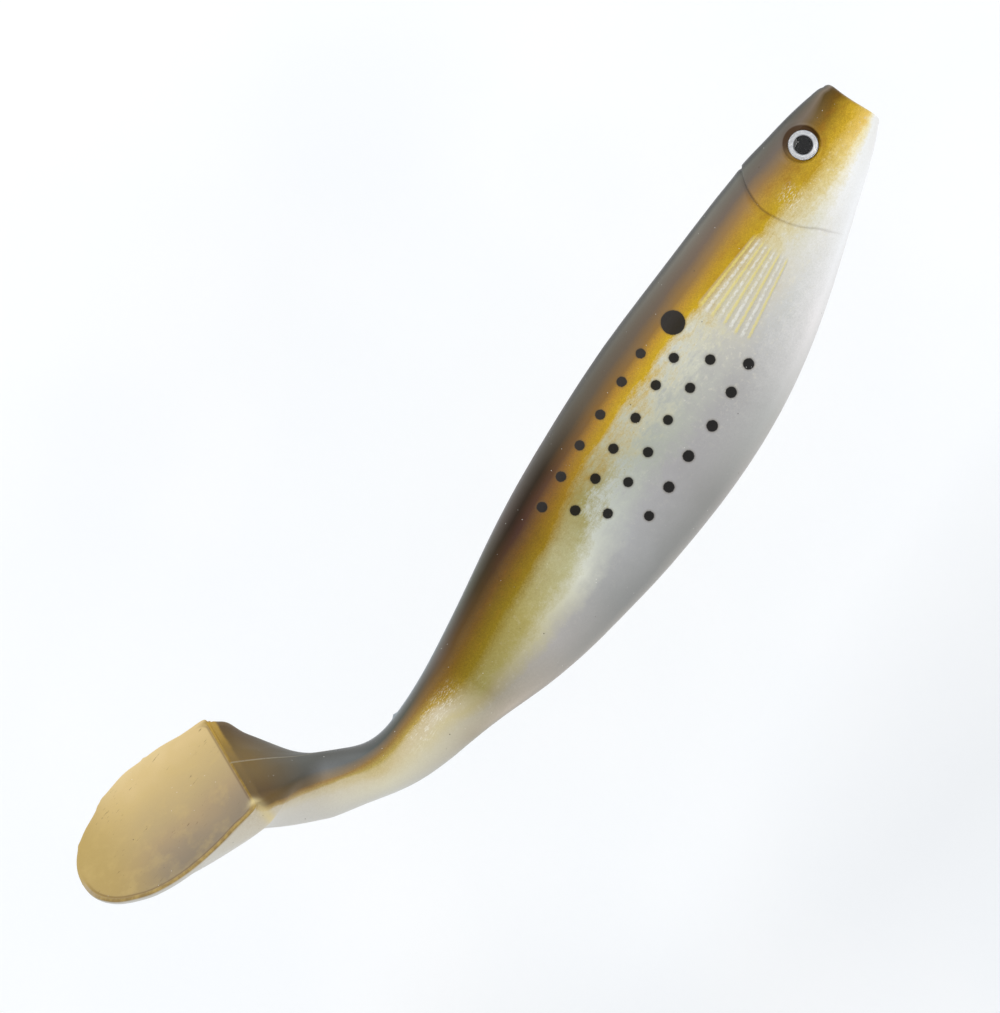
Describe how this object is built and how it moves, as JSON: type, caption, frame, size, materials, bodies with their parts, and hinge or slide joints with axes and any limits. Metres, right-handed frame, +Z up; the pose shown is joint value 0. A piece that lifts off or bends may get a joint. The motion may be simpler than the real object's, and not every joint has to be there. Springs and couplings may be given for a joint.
{
  "type": "paddle-tail swimbait",
  "caption": "Soft plastic fish-shaped fishing lure with a flexing body, a twisting tail stem, a broad canted paddle tail and stick-on domed eyes.",
  "frame": {"origin": "centre of the footprint, on the surface the bait lies on", "axes": "+X to the nose, +Y to the back of the fish, +Z up out of its right flank"},
  "size_m": [0.2446, 0.0752, 0.0314],
  "materials": {
    "pearl_soft_plastic": "satin soft plastic, pearl white belly, gold flank, smoke back",
    "smoke_soft_plastic": "satin soft plastic, smoke back over cream",
    "tan_soft_plastic": "satin translucent soft plastic",
    "eye_adhesive": "acrylic foam tape",
    "eye_foil": "silver foil with a printed black pupil",
    "eye_resin": "clear domed resin"
  },
  "bodies": {
    "fore": {"fore_body": "pearl_soft_plastic", "right_eye_adhesive": "eye_adhesive", "right_eye_foil": "eye_foil", "right_eye_dome": "eye_resin", "left_eye_adhesive": "eye_adhesive", "left_eye_foil": "eye_foil", "left_eye_dome": "eye_resin"},
    "rear": {"rear_body": "pearl_soft_plastic"},
    "wrist": {"tail_wrist": "smoke_soft_plastic"},
    "stem": {"tail_stem": "smoke_soft_plastic"},
    "paddle": {"tail_paddle": "tan_soft_plastic"}
  },
  "joints": [
    {"name": "body_flex", "type": "hinge", "parent": "fore", "child": "rear", "pos_m": [0.01656, -0.0168, 0.01235], "axis": [0, 1, 0], "range_deg": [-15, 15], "stiffness_Nm_per_rad": 0.4},
    {"name": "tail_root_flex", "type": "hinge", "parent": "rear", "child": "wrist", "pos_m": [-0.05601, -0.01194, 0.01168], "axis": [0.2419, 0.9703, 0], "range_deg": [-35, 35], "stiffness_Nm_per_rad": 0.03},
    {"name": "stem_twist", "type": "hinge", "parent": "wrist", "child": "stem", "pos_m": [-0.07027, -0.00199, 0.00907], "axis": [-0.7427, 0.6687, -0.0349], "range_deg": [-40, 40], "stiffness_Nm_per_rad": 0.02},
    {"name": "paddle_flex", "type": "hinge", "parent": "stem", "child": "paddle", "pos_m": [-0.092, 0.02074, 0.01668], "axis": [-0.2661, -0.6277, 0.7316], "range_deg": [-30, 30], "stiffness_Nm_per_rad": 0.01}
  ]
}
